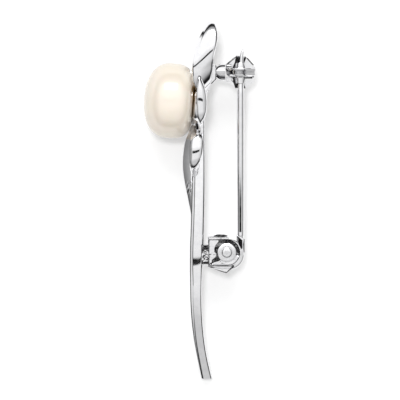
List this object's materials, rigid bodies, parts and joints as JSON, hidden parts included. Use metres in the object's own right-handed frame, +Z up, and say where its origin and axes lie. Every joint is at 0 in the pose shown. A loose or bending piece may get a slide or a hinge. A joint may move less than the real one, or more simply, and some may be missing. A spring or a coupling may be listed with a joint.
{
  "type": "pearl brooch",
  "caption": "Slim twisted-ribbon brooch with a button pearl in a cup, and a hinged pin with a turning safety catch.",
  "frame": {"origin": "on the surface that the brooch lies on, below the middle of its outline", "axes": "+X from the pearl at the front to the pin at the back, +Y up the brooch towards the catch, +Z up from the surface, across the brooch"},
  "size_m": [0.0157, 0.051, 0.0106],
  "materials": {
    "silver": "silver with bright rhodium plate, hand polished",
    "pin_steel": "hard white wire, drawn and polished",
    "pearl": "nacre with a soft lustre and a faint warm and rose sheen"
  },
  "bodies": {
    "brooch": {"frame": "silver", "pearl": "pearl", "hinge_rivet": "silver"},
    "pin": {"pin_stem": "pin_steel"},
    "rotor": {"catch_rotor": "silver"}
  },
  "joints": [
    {"name": "pin_hinge", "type": "hinge", "parent": "brooch", "child": "pin", "pos_m": [0.00362, -0.00721, 0.0053], "axis": [0, 0, -1], "range_deg": [0, 110]},
    {"name": "catch_lock", "type": "hinge", "parent": "brooch", "child": "rotor", "pos_m": [0.00558, 0.01825, 0.0053], "axis": [0, -1, 0], "range_deg": [0, 75]}
  ]
}
